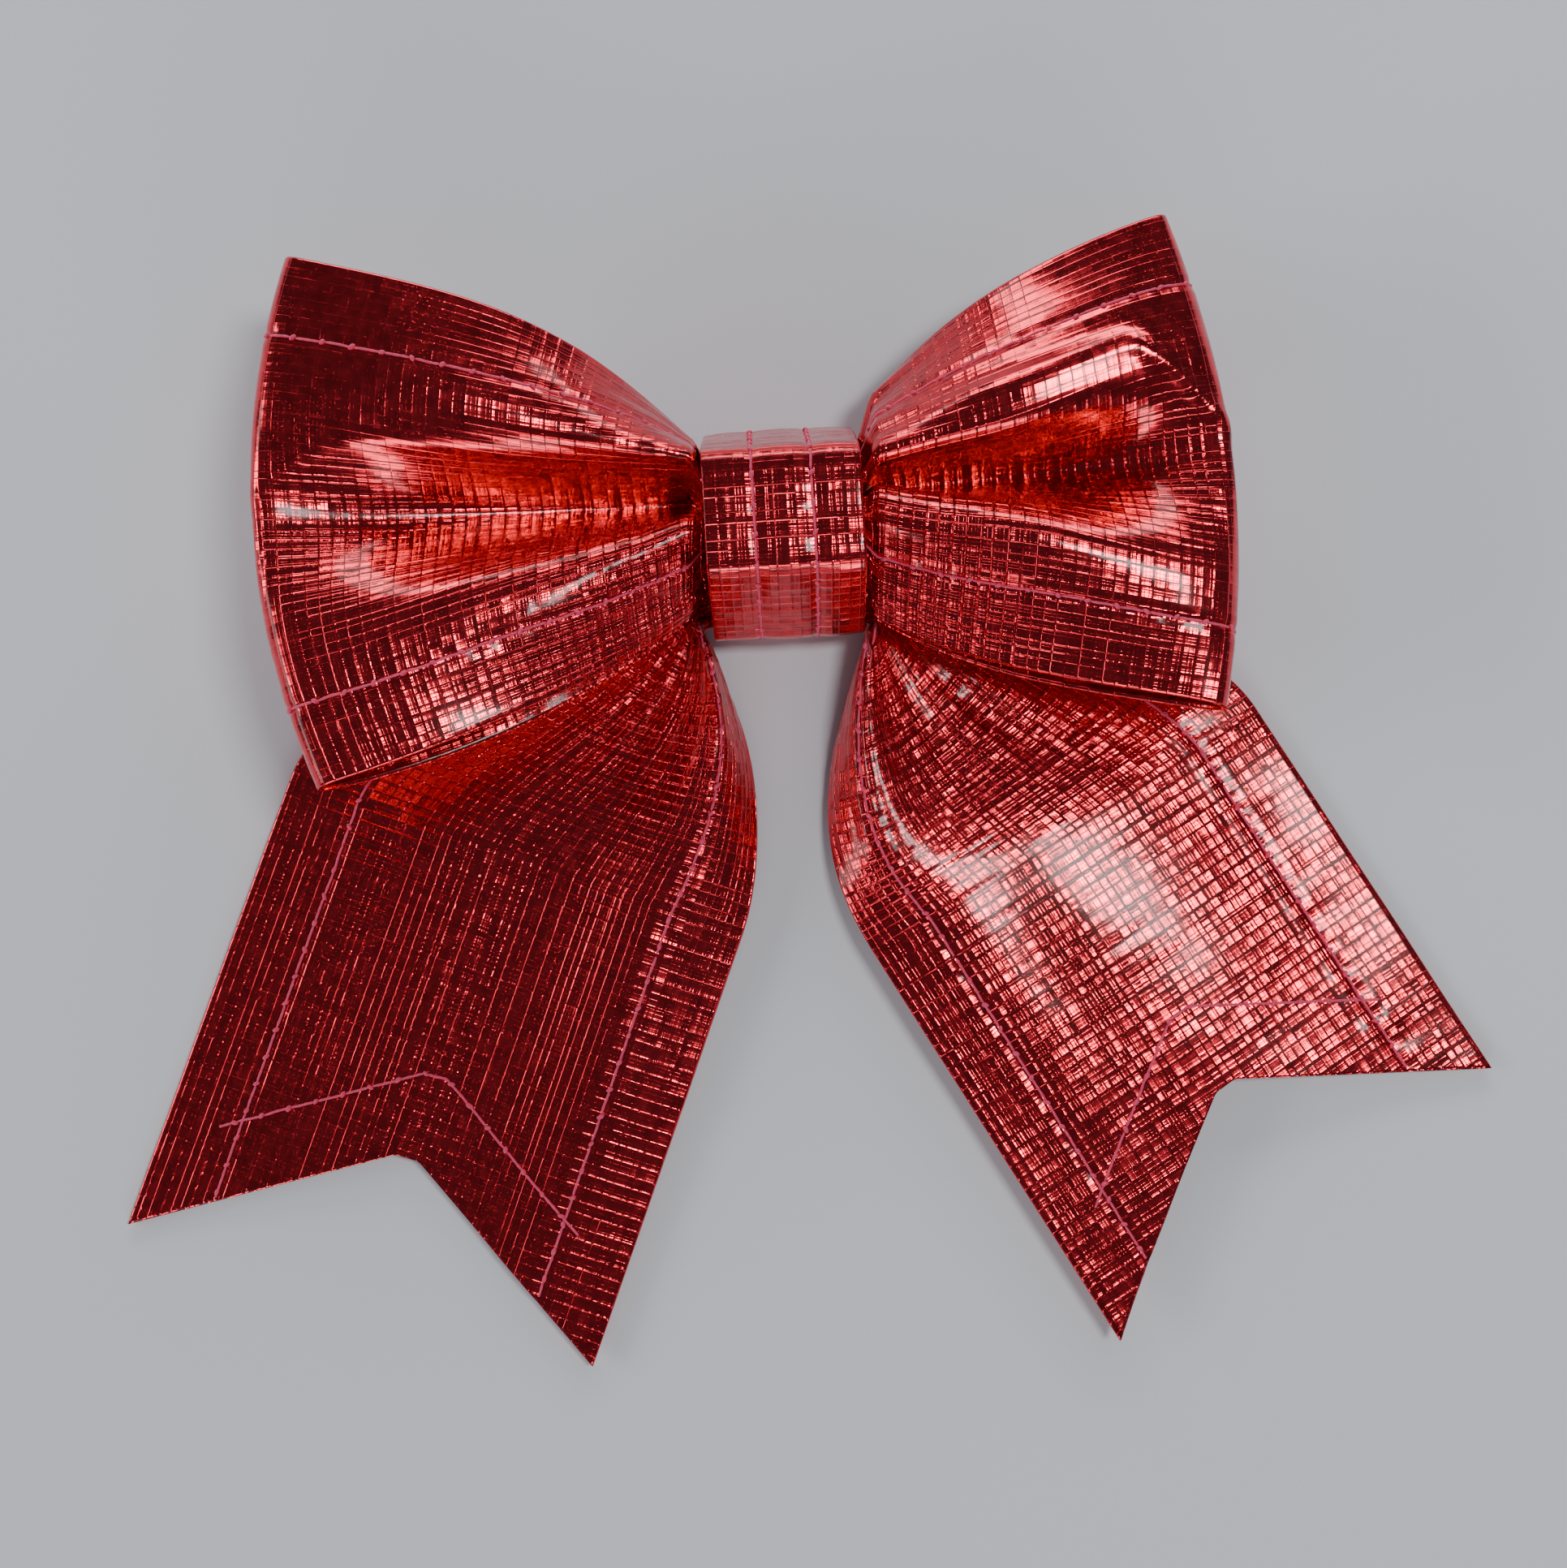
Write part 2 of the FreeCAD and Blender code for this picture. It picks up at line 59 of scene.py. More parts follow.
RIBBON_HALF = 25.4            # half the finished width
HEM = 7.4                     # stitching to folded edge
FLAP = 8.4                    # hem turned under
PLY_GAP = 0.42                # middle of one ply to the middle of the next
PLY_HALF = 0.11               # half the thickness of one ply
STITCH_PITCH = 3.0
THREAD_RADIUS = 0.13
THREAD_STEP = 0.2             # distance between the rings of a thread
THREAD_SINK = 0.03            # level of a thread below the face of the ply, before it rises and dips
THREAD_RISE = 0.06
THREAD_SWAY = 0.05
HOLE_DIP = 0.30               # how far a thread dips at a needle hole
HOLE_WIDTH = 0.34
BEAD_RINGS = 7
BEAD_RISE = 0.13
MESH_STEP = 0.42              # grid step of the cloth
CURL_ANGLES = (35, 70, 110, 145, 180)   # degrees, round the fold of a hem
FLAP_STEP = 0.6               # spacing of the columns of a hem's under ply
FLAP_START = 0.25             # from the folded edge to the first of them


# ---------------------------------------------------------------- camera, light and floor

def make_camera():
    data = bpy.data.cameras.new("camera")
    camera = bpy.data.objects.new("camera", data)
    bpy.context.scene.collection.objects.link(camera)
    data.sensor_width = 36
    data.lens = 42.4
    data.clip_start = 0.01
    tilt = math.radians(4)
    distance = 0.1985
    aim = Vector((0, -0.026, 0))
    camera.location = aim + Vector((0, -math.sin(tilt), math.cos(tilt))) * distance
    camera.rotation_euler = (tilt, 0, 0)
    bpy.context.scene.camera = camera


def area_light(name, place, size, power, colour=(1, 1, 1)):
    data = bpy.data.lights.new(name, "AREA")
    data.shape = "RECTANGLE"
    data.size, data.size_y = size
    data.energy = power
    data.color = colour
    light = bpy.data.objects.new(name, data)
    light.location = place
    aim = Vector((0, -0.02, 0.01)) - light.location
    light.rotation_euler = aim.to_track_quat("-Z", "Y").to_euler()
    bpy.context.scene.collection.objects.link(light)


def make_light():
    area_light("window", (0.25, 0.02, 0.62), (0.11, 0.17), 1.7, (1.0, 0.98, 0.97))
    area_light("back_fill", (0.0, 0.62, 0.22), (0.8, 0.16), 2.4)
    area_light("left_fill", (-0.62, -0.05, 0.22), (0.5, 0.16), 1.6)
    area_light("front_fill", (0.05, -0.66, 0.22), (0.6, 0.16), 1.5)
    world = bpy.data.worlds.new("studio")
    bpy.context.scene.world = world
    world.use_nodes = True
    world.node_tree.nodes["Background"].inputs["Color"].default_value = (0.75, 0.80, 0.90, 1)
    world.node_tree.nodes["Background"].inputs["Strength"].default_value = 0.12


def make_floor():
    size, level = 3.0, -0.0002
    mesh = bpy.data.meshes.new("floor")
    corners = [(-size, -size, level), (size, -size, level), (size, size, level), (-size, size, level)]
    mesh.from_pydata(corners, [], [(0, 1, 2, 3)])
    floor = bpy.data.objects.new("floor", mesh)
    bpy.context.scene.collection.objects.link(floor)
    material = bpy.data.materials.new("floor")
    material.use_nodes = True
    shader = material.node_tree.nodes["Principled BSDF"]
    shader.inputs["Base Color"].default_value = (0.78, 0.81, 0.87, 1)
    shader.inputs["Roughness"].default_value = 0.9
    mesh.materials.append(material)


# ---------------------------------------------------------------- curves and noise

def mix(low, high, share):
    return low + (high - low) * share


def ease(share, power):
    return 1 - (1 - share) ** power


def step_up(low, high, x):
    """0 below low, 1 above high, smooth between."""
    share = np.clip((x - low) / (high - low), 0, 1)
    return share * share * (3 - 2 * share)


def bump(x, width):
    return np.exp(-(x / width) ** 2)


def curve_weights(xs, x):
    """Weights of the values at xs in the smooth curve through them, read at x."""
    xs, x = np.asarray(xs, float), np.asarray(x, float)
    count = len(xs)
    values, slopes = np.eye(count), np.zeros((count, count))
    for index in range(count):
        ahead, behind = min(index + 1, count - 1), max(index - 1, 0)
        slopes[index, ahead] += 1 / (xs[ahead] - xs[behind])
        slopes[index, behind] -= 1 / (xs[ahead] - xs[behind])
    at = np.clip(np.searchsorted(xs, x, side="right") - 1, 0, count - 2)
    step = (xs[at + 1] - xs[at])[..., None]
    share = np.clip((x[..., None] - xs[at][..., None]) / step, 0, 1)
    square, cube = share ** 2, share ** 3
    return ((2 * cube - 3 * square + 1) * values[at] + (cube - 2 * square + share) * step * slopes[at]
            + (3 * square - 2 * cube) * values[at + 1] + (cube - square) * step * slopes[at + 1])


def through(xs, ys, x):
    """Smooth curve through (xs, ys), read at x."""
    return curve_weights(xs, x) @ np.asarray(ys, float)


def lattice(column, row, seed):
    value = np.sin(column * 127.1 + row * 311.7 + seed * 74.7) * 43758.5453
    return (value - np.floor(value)) * 2 - 1


def noise(x, y, seed):
    """Smooth noise from -1 to 1 on a unit lattice."""
    column, row = np.floor(x), np.floor(y)
    across, up = x - column, y - row
    across, up = across * across * (3 - 2 * across), up * up * (3 - 2 * up)
    low = mix(lattice(column, row, seed), lattice(column + 1, row, seed), across)
    high = mix(lattice(column, row + 1, seed), lattice(column + 1, row + 1, seed), across)
    return mix(low, high, up)


def lengths_along(points):
    steps = np.linalg.norm(np.diff(points, axis=0), axis=-1)
    return np.concatenate([[0.0], np.cumsum(steps)])


def resample(points, distances):
    run = lengths_along(points)
    return np.stack([np.interp(distances, run, points[:, axis]) for axis in range(3)], axis=1)


def unit(vectors):
    return vectors / np.maximum(np.linalg.norm(vectors, axis=-1, keepdims=True), 1e-9)


def grid_normals(grid):
    lengthwise, crosswise = np.gradient(grid, axis=0), np.gradient(grid, axis=1)
    return unit(np.cross(lengthwise, crosswise))


# ---------------------------------------------------------------- ribbon surfaces

# Many values in the next four tables, LEFT_LOOP to RIGHT_TAIL, weren't chosen by hand: a program
# fitted them to lines measured in the photograph.

# Lines along a loop, bottom edge first: place across the width, Y at the knot, how early the
# line fans out, a bow in Y, and Z in front and behind, at the knot and halfway out.
LEFT_LOOP = {
    "side": -1, "centre": -1.3, "spread": 1.045, "reach": (52.5, 2.1, -4.9), "fold": (21.3, 13.6),
    "crest": 0.30, "crest_drop": 0.30,
    "lines": [(-1.00, -9.6, 2.1, 2.4, (9.6, 17.4), (4.2, 6.6)),
              (-0.42, -1.6, 1.6, -0.4, (15.5, 19.0), (8.0, 7.2)),
              (-0.05, 2.9, 1.0, 0.4, (6.4, 11.0), (4.2, 4.8)),
              (0.38, 6.0, 1.1, 1.2, (15.5, 19.5), (8.0, 7.2)),
              (1.00, 10.4, 3.1, -2.8, (5.5, 18.0), (3.2, 5.8))]}
RIGHT_LOOP = {
    "side": 1, "centre": 6.25, "spread": 1.0, "reach": (45.8, -2.7, -3.7), "fold": (15.6, 8.0),
    "crest": 0.55, "crest_drop": 0.45,
    "lines": [(-1.00, -9.5, 2.8, 1.9, (8.9, 12.2), (4.4, 5.0)),
              (-0.50, 1.8, 1.0, -0.2, (15.5, 16.8), (8.0, 5.6)),
              (0.02, 4.5, 1.0, 0.5, (6.4, 7.6), (3.4, 3.4)),
              (0.52, 6.6, 1.1, -1.6, (15.5, 17.2), (8.0, 5.6)),
              (1.00, 15.6, 2.4, -2.2, (5.6, 11.4), (3.2, 4.4))]}
FOLD_TIGHTNESS = 0.085
HALFWAY_OUT = 0.45            # where the second height of a line is met
EDGE_TUCK = 0.9               # how far the back edges draw inward at the knot
LOOP_ROOT = 9.8               # X where a loop leaves the knot
KNOT_INSIDE = 6.3             # X where the cloth of a loop or tail ends inside the knot
LOOP_GATHER_Y = 0.5           # times its side, the middle that a loop is drawn towards in the knot
LOOP_GATHER_Z = 9.8
LOOP_SQUEEZE_Y = 0.58         # share of its size that is left there
LOOP_SQUEEZE_Z = 0.82
LOOP_SQUEEZED = 0.6           # share of the way in at which it is down to that size
SECTION_POINTS = 161
CENTRE_POINTS = 241

# Heights across a tail, inner edge first, at the knot, a third of the way to the straight part,
# at its start and at its end.
TAIL_PLACES = (-1.0, -0.68, -0.2, 0.35, 1.0)
LEFT_TAIL = {
    "side": -1, "root_y": (-10.1, -2.0), "root_heading": (-55, -171), "heading": -109.15,
    "middle": (-28.6, -33.9), "length": 48.5, "skew": 1.2, "tuck": 0.0, "pull": (9.3, 20.7),
    "settle": 10.7, "relief": 0.30,
    "heights": [(3.0, 5.8, 3.4, 3.0, 2.8), (1.2, 6.0, 2.6, 1.4, 1.2),
                (1.6, 4.2, 1.2, 0.7, 0.4), (1.0, 0.9, 0.5, 0.4, 0.25)]}
RIGHT_TAIL = {
    "side": 1, "root_y": (-10.2, -1.5), "root_heading": (-111, -3), "heading": -57.6,
    "middle": (29.2, -31.7), "length": 46.2, "skew": -1.0, "tuck": 2.4, "pull": (19.5, 18.0),
    "settle": 9.0, "relief": 0.36,
    "heights": [(3.0, 5.8, 3.4, 3.0, 2.8), (1.2, 6.0, 3.0, 1.8, 1.2),
                (3.4, 4.4, 3.6, 2.0, 0.4), (2.6, 2.2, 1.8, 1.0, 0.25)]}
TAIL_ROOT = 9.0               # X where a tail leaves the knot
TAIL_UNIT = 100.0             # straight part per unit of q
TAIL_THIRD = 0.35             # where the second row of heights is met
BUNCHING = 1.5                # how much denser the ribbon lies at its inner edge at the knot
FANNING = 0.8                 # how soon the headings turn outward
HEM_STACK = 0.25              # lift of the main ply of a tail above its turned hems
NOTCH_DEPTH = 15.8
NOTCH_FLAT = 0.05             # share of the width that the notch's blunt point takes
END_ROW_GAP = 9.0
END_ROW_REACH = 0.80          # places between which the end stitching runs
HINGE_OFFSET = 4.5            # hinge line beyond the start of the straight part
TAIL_GATHER_Y = -4.0          # middle that a tail is drawn towards inside the knot
TAIL_GATHER_Z = 3.65
TAIL_SQUEEZE_Y = 0.72         # share of its size that is left there
TAIL_SQUEEZE_Z = 0.25
TAIL_SQUEEZED = 0.55          # share of the way in at which it is down to that height
INSIDE_ROWS = 7
FAN_ROWS = 110
CUT_ROWS = 46
CUT_RUN = 0.08                # in q, how far before the notch the rows begin to follow the cut


def loop_section(loop, t, shares):
    """Middle of the ribbon across a loop; t is 1 at the knot in front, 0 at the outer fold and
    -1 at the knot behind."""
    out = 1 - abs(t)
    bend = math.hypot(t, FOLD_TIGHTNESS)
    turn = abs(t) / bend
    inward = (bend - FOLD_TIGHTNESS) / (math.hypot(1, FOLD_TIGHTNESS) - FOLD_TIGHTNESS)
    fold_middle = sum(loop["fold"]) / 2
    heights, depths = [], []
    for place, root, power, bow, front, back in loop["lines"]:
        end = loop["centre"] + RIBBON_HALF * loop["spread"] * place
        height = mix(root, end, ease(out, power)) + bow * math.sin(math.pi * out)
        if t < 0 and abs(place) == 1:
            height -= EDGE_TUCK * place * (1 - out) ** 3
        layer = front if t > 0 else back
        last = loop["fold"][0 if t > 0 else 1]
        depth = float(through((0, HALFWAY_OUT, 1), (layer[0], layer[1], last), out))
        heights.append(height)
        depths.append(mix(fold_middle, depth, turn))
    spots = np.linspace(0, 1, len(heights))
    fine = np.linspace(0, 1, SECTION_POINTS)
    place = through(spots, [line[0] for line in loop["lines"]], fine)
    reach = sum(term * place ** power for power, term in enumerate(loop["reach"]))
    x = loop["side"] * (reach - (reach - LOOP_ROOT) * inward)
    points = np.stack([x, through(spots, heights, fine), through(spots, depths, fine)], axis=1)
    return resample(points, (np.asarray(shares) + 1) / 2 * lengths_along(points)[-1])


def into_knot(section, side, share):
    """The end section of a loop, drawn on into the knot: share 0 at its mouth, 1 inside."""
    moved = section.copy()
    squeeze = step_up(0, LOOP_SQUEEZED, share)
    middle = side * LOOP_GATHER_Y
    moved[:, 0] = side * mix(LOOP_ROOT, KNOT_INSIDE, share)
    moved[:, 1] = middle + (section[:, 1] - middle) * mix(1, LOOP_SQUEEZE_Y, squeeze)
    moved[:, 2] = LOOP_GATHER_Z + (section[:, 2] - LOOP_GATHER_Z) * mix(1, LOOP_SQUEEZE_Z, squeeze)
    return moved


def loop_grid(loop, shares):
    """Rows of points from inside the knot in front, out round the fold and back into it."""
    coarse = np.linspace(1, -1, CENTRE_POINTS)
    centre = np.array([loop_section(loop, t, (0.0,))[0] for t in coarse])
    run = lengths_along(centre)
    even = np.interp(np.arange(0, run[-1], MESH_STEP), run, coarse)
    body = [loop_section(loop, t, shares) for t in even]
    inside = np.arange(1, 0, -MESH_STEP / (LOOP_ROOT - KNOT_INSIDE))
    front = [into_knot(body[0], loop["side"], share) for share in inside]
    back = [into_knot(body[-1], loop["side"], share) for share in inside[::-1]]
    return np.array(front + body + back)


def tail_surface(tail, q, place):
    """Middle of a tail's ribbon at arrays q and place: q is negative inside the knot, 0 at its
    mouth and 1 at the start of the straight part; place is -1 at the inner edge."""
    heading = math.radians(tail["heading"])
    along = np.array([math.cos(heading), math.sin(heading)])
    outward = np.array([-along[1], along[0]]) * tail["side"]
    share = (place + 1) / 2
    in_fan = np.clip(q, 0, 1)
    bunched = mix(share ** BUNCHING, share, in_fan)
    across = RIBBON_HALF * (2 * bunched - 1) + tail["tuck"] * (1 - share) ** 3
    end = np.array(tail["middle"]) + across[..., None] * outward
    start = np.stack([np.full_like(share, tail["side"] * TAIL_ROOT),
                      mix(*tail["root_y"], bunched)], axis=-1)
    turn = np.radians(mix(*tail["root_heading"], bunched ** FANNING))
    pull = np.stack([np.cos(turn), np.sin(turn)], axis=-1) * mix(*tail["pull"], share)[..., None]
    k = in_fan[..., None]
    flat = ((1 - k) ** 3 * start + 3 * k * (1 - k) ** 2 * (start + pull)
            + 3 * k ** 2 * (1 - k) * (end - along * tail["settle"]) + k ** 3 * end)
    flat = flat + along * (np.maximum(q - 1, 0) * TAIL_UNIT)[..., None]
    last = 1 + tail["length"] / TAIL_UNIT
    stations = (0, TAIL_THIRD, 1, last)
    height = np.einsum("...s,...p,sp->...", curve_weights(stations, q),
                       curve_weights(TAIL_PLACES, place), np.array(tail["heights"]))
    inside = np.clip(-q, 0, 1)
    flat[..., 0] = mix(flat[..., 0], tail["side"] * KNOT_INSIDE, inside)
    drawn_in = TAIL_GATHER_Y + (flat[..., 1] - TAIL_GATHER_Y) * TAIL_SQUEEZE_Y
    flat[..., 1] = mix(flat[..., 1], drawn_in, inside)
    pressed = TAIL_GATHER_Z + (height - TAIL_GATHER_Z) * TAIL_SQUEEZE_Z
    height = mix(height, pressed, step_up(0, TAIL_SQUEEZED, inside)) + HEM_STACK
    return np.concatenate([flat, height[..., None]], axis=-1)


def tail_end(tail, place):
    """The q at which the dovetail cuts the ribbon."""
    notch = NOTCH_DEPTH * (1 - np.maximum(np.abs(place), NOTCH_FLAT))
    return 1 + (tail["length"] + tail["skew"] * place - notch) / TAIL_UNIT


def tail_stations(tail, places):
    """Values of q, in rows from inside the knot to the dovetail, for the places across a tail."""
    inside = np.linspace(-1, 0, INSIDE_ROWS)[:-1]
    fan = np.linspace(0, 1, FAN_ROWS)[:-1]
    last = 1 + tail["length"] / TAIL_UNIT
    square_end = last - NOTCH_DEPTH / TAIL_UNIT - CUT_RUN
    square = np.arange(1, square_end, MESH_STEP / TAIL_UNIT)
    rows = np.concatenate([inside, fan, square])
    q = np.repeat(rows[:, None], len(places), axis=1)
    stretch = np.linspace(0, 1, CUT_ROWS)[:, None]
    return np.concatenate([q, mix(square_end, tail_end(tail, places)[None, :], stretch)])


# ---------------------------------------------------------------- cloth

def creases(along, across, slack, relief, seed):
    """Height of the ribbon's creases over its smooth surface: ribs across it, hems and waves."""
    edge = RIBBON_HALF - np.abs(across)
    ribs = noise(along / 0.75, across / 9, seed) * noise(along / 5, across / 6, seed + 1)
    waves = noise(along / 9, across / 10, seed + 2)
    pleats = noise(across / 1.7, along / 22, seed + 3)
    seam = bump(edge - HEM, 0.55)
    holes = np.cos(2 * np.pi * along / STITCH_PITCH)
    pucker = noise(along / 2.2, across / 5, seed + 4) * bump(edge - HEM, 2.6)
    ridge = bump(edge - FLAP - 0.2, 0.5)
    return ((0.01 + 0.15 * relief ** 2) * ribs + 0.13 * waves + 0.32 * slack * pleats
            - seam * (0.12 + 0.05 * holes) + (0.03 + 0.08 * relief) * pucker + 0.04 * ridge)


def new_object(name, points, faces, materials, uvs=None, slots=None, relief=None):
    mesh = bpy.data.meshes.new(name)
    mesh.from_pydata((np.asarray(points) * MM).tolist(), [], faces.tolist())
    for material in materials:
        mesh.materials.append(material)
    mesh.polygons.foreach_set("use_smooth", np.ones(len(faces), bool))
    if slots is not None:
        mesh.polygons.foreach_set("material_index", np.asarray(slots, np.int32))
    if uvs is not None:
        layer = mesh.uv_layers.new(name="weave")
        layer.data.foreach_set("uv", (uvs[faces.ravel()] * 0.01).astype(np.float32).ravel())
    if relief is not None:
        layer = mesh.attributes.new("relief", "FLOAT", "POINT")
        layer.data.foreach_set("value", relief.astype(np.float32))
    mesh.update()
    thing = bpy.data.objects.new(name, mesh)
    bpy.context.scene.collection.objects.link(thing)
    return thing


def quads(first, second):
    """Faces of the strip between two index lines."""
    return np.stack([first[:-1], first[1:], second[1:], second[:-1]], axis=1)


def grid_faces(index):
    return np.concatenate([quads(index[row], index[row + 1]) for row in range(len(index) - 1)])


def two_skins(rows, count, flip):
    """Faces of a closed sheet, foil skin first, and the material slot of each face."""
    index = np.arange(rows * count).reshape(rows, count)
    other = index + rows * count
    foil = grid_faces(index)
    faces = np.concatenate([foil, grid_faces(other)[:, ::-1], quads(other[0], index[0]),
                            quads(index[-1], other[-1]), quads(index[:, 0], other[:, 0]),
                            quads(other[:, -1], index[:, -1])])
    slots = np.concatenate([np.zeros(len(foil)), np.ones(len(faces) - len(foil))])
    return (faces[:, ::-1] if flip < 0 else faces), slots


def column_at(main, place):
    """The column of the main ply nearest to a place across the ribbon."""
    return int(round((place + 1) / 2 * (len(main) - 1)))


def hem_columns(half, flap):
    """Columns across a hemmed ribbon: place on the main ply, shift outwards along it, shift
    along its normal, and the direction of the foil side as (outwards, normal)."""
    radius = PLY_GAP / 2
    main = np.linspace(-1, 1, int(round(2 * half / MESH_STEP)) + 1)
    flap_places = 1 - np.linspace(FLAP_START, flap, int(flap / FLAP_STEP)) / half
    columns = [(place, 0.0, 0.0, 0.0, 1.0) for place in main]
    for side in (1, -1):
        turn = [(side, side * radius * math.sin(angle), -radius + radius * math.cos(angle),
                 side * math.sin(angle), math.cos(angle)) for angle in np.radians(CURL_ANGLES)]
        under = [(side * place, 0.0, -PLY_GAP, 0.0, -1.0) for place in flap_places]
        extra = turn + under
        columns = columns + extra if side > 0 else extra[::-1] + columns
    return main, np.array(columns)


def hemmed_ribbon(name, grid, along, relief, main, columns, flip, materials):
    """Closed mesh of a ribbon whose long edges are turned under, from a grid of its main ply."""
    rows = len(grid)
    normals = grid_normals(grid) * flip
    outwards = unit(np.gradient(grid, axis=1))
    place, out_shift, deep, out_way, normal_way = columns.T

    def at_places(field):
        spots = np.clip(place, -1, 1)
        position = (spots + 1) / 2 * (len(main) - 1)
        low = np.clip(np.floor(position).astype(int), 0, len(main) - 2)
        share = (position - low)[None, :, None]
        return field[:, low] * (1 - share) + field[:, low + 1] * share

    spot, normal, outward = at_places(grid), unit(at_places(normals)), unit(at_places(outwards))
    middle = spot + outward * out_shift[None, :, None] + normal * deep[None, :, None]
    way = outward * out_way[None, :, None] + normal * normal_way[None, :, None]
    foil, back = middle + way * PLY_HALF, middle - way * PLY_HALF
    count = len(place)
    across = np.concatenate([[0.0], np.cumsum(np.linalg.norm(
        np.diff(middle[rows // 2], axis=0), axis=1))])
    across -= across[-1] / 2
    uv = np.stack([at_places(along[..., None])[..., 0],
                   np.repeat(across[None, :], rows, axis=0)], axis=-1).reshape(-1, 2)
    faces, slots = two_skins(rows, count, flip)
    points = np.concatenate([foil.reshape(-1, 3), back.reshape(-1, 3)])
    relief = at_places(relief[..., None]).ravel()
    return new_object(name, points, faces, materials, np.concatenate([uv, uv]), slots,
                      np.concatenate([relief, relief]))


def creased(grid, along, main, flip, slack_of, relief_of, form_of, seed):
    """The grid with its creases pushed out along its normals, and the strength of its relief."""
    place = np.repeat(main[None, :], len(grid), axis=0)
    total = along.max()
    relief = np.clip(relief_of(along, place, total), 0, 1)
    lift = creases(along, place * RIBBON_HALF, slack_of(along, total), relief, seed)
    lift += form_of(along, place, total)
    return grid + grid_normals(grid) * (flip * lift)[..., None], relief


# ---------------------------------------------------------------- sewing thread

def tube(points, ups, radii, sides=7):
    """Points and faces of a round tube that follows points."""
    forward = unit(np.gradient(points, axis=0))
    side = unit(np.cross(forward, ups))
    up = np.cross(side, forward)
    angles = np.linspace(0, 2 * np.pi, sides, endpoint=False)
    ring = (side[:, None] * np.cos(angles)[None, :, None] + up[:, None] * np.sin(angles)[None, :, None])
    body = points[:, None] + ring * np.asarray(radii)[:, None, None]
    index = np.arange(len(points) * sides).reshape(len(points), sides)
    index = np.concatenate([index, index[:, :1]], axis=1)
    return body.reshape(-1, 3), grid_faces(index)


def thread_row(name, line, normals, materials, seed, under=PLY_GAP + PLY_HALF):
    """Lockstitched thread along a line: top thread, bobbin thread and a bead at each hole."""
    run = lengths_along(line)
    at = np.arange(0, run[-1], THREAD_STEP)
    spots = np.stack([np.interp(at, run, line[:, axis]) for axis in range(3)], axis=1)
    ups = unit(np.stack([np.interp(at, run, normals[:, axis]) for axis in range(3)], axis=1))
    phase = (at / STITCH_PITCH) % 1
    near_hole = np.minimum(phase, 1 - phase) * STITCH_PITCH
    dip = bump(near_hole, HOLE_WIDTH)
    sway = THREAD_SWAY * noise(at / 1.3, np.zeros_like(at), seed)
    sides = unit(np.cross(np.gradient(spots, axis=0), ups))
    parts = []
    for direction, base in ((1, PLY_HALF - THREAD_SINK), (-1, under)):
        depth = base + THREAD_RISE - HOLE_DIP * dip
        path = spots + ups * (direction * depth)[:, None] + sides * sway[:, None]
        radii = THREAD_RADIUS * (1 + 0.10 * np.sin(at * 2 * np.pi / 0.8))
        parts.append(tube(path, ups * direction, radii))
    random = np.random.default_rng(seed)
    for hole in np.arange(STITCH_PITCH, run[-1] - 0.5, STITCH_PITCH):
        middle = int(hole / THREAD_STEP)
        way = unit(np.gradient(spots, axis=0)[middle] + sides[middle] * random.uniform(-0.25, 0.25))
        steps = np.linspace(-1, 1, BEAD_RINGS)[:, None]
        bead = (spots[middle] + ups[middle] * (PLY_HALF - THREAD_SINK + BEAD_RISE * (1 - steps ** 2))
                + way * steps * random.uniform(0.32, 0.44))
        swell = THREAD_RADIUS * random.uniform(1.5, 1.9) * np.sqrt(1.02 - steps[:, 0] ** 2)
        parts.append(tube(bead, np.repeat(ups[middle][None], BEAD_RINGS, axis=0), swell))
    points, faces, first = [], [], 0
    for part_points, part_faces in parts:
        points.append(part_points)
        faces.append(part_faces + first)
        first += len(part_points)
    points, faces = np.concatenate(points), np.concatenate(faces)
    return new_object(name, points, faces, materials)


# ---------------------------------------------------------------- materials

class Nodes:
    """Short hand for building a node tree."""

    def __init__(self, name):
        self.material = bpy.data.materials.new(name)
        self.material.use_nodes = True
        self.tree = self.material.node_tree
        self.shader = self.tree.nodes["Principled BSDF"]

    def add(self, kind, **values):
        node = self.tree.nodes.new(kind)
        for key, value in values.items():
            setattr(node, key, value)
        return node

    def link(self, source, target):
        self.tree.links.new(source, target)

    def feed(self, node, values):
        """Set or link a node's first inputs, and give its first output."""
        for socket, value in zip(node.inputs, values):
            if isinstance(value, (int, float)):
                socket.default_value = value
            else:
                self.link(value, socket)
        return node.outputs[0]

    def math(self, operation, first, second=0.0):
        return self.feed(self.add("ShaderNodeMath", operation=operation), (first, second))

    def join(self, x, y, z=0.0):
        return self.feed(self.add("ShaderNodeCombineXYZ"), (x, y, z))

    def noise(self, x, y, z=0.0, detail=2.0):
        node = self.add("ShaderNodeTexNoise")
        node.inputs["Scale"].default_value = 1.0
        node.inputs["Detail"].default_value = detail
        self.link(self.join(x, y, z), node.inputs["Vector"])
        return node.outputs["Fac"]

    def ramp(self, factor, stops):
        node = self.add("ShaderNodeValToRGB")
        while len(node.color_ramp.elements) < len(stops):
            node.color_ramp.elements.new(0.5)
        for element, (place, colour) in zip(node.color_ramp.elements, stops):
            element.position = place
            element.color = (*colour, 1)
        self.link(factor, node.inputs["Fac"])
        return node.outputs["Color"]

    def bump(self, height, distance):
        node = self.add("ShaderNodeBump")
        node.inputs["Distance"].default_value = distance
        node.inputs["Strength"].default_value = 1.0
        self.link(height, node.inputs["Height"])
        return node.outputs["Normal"]


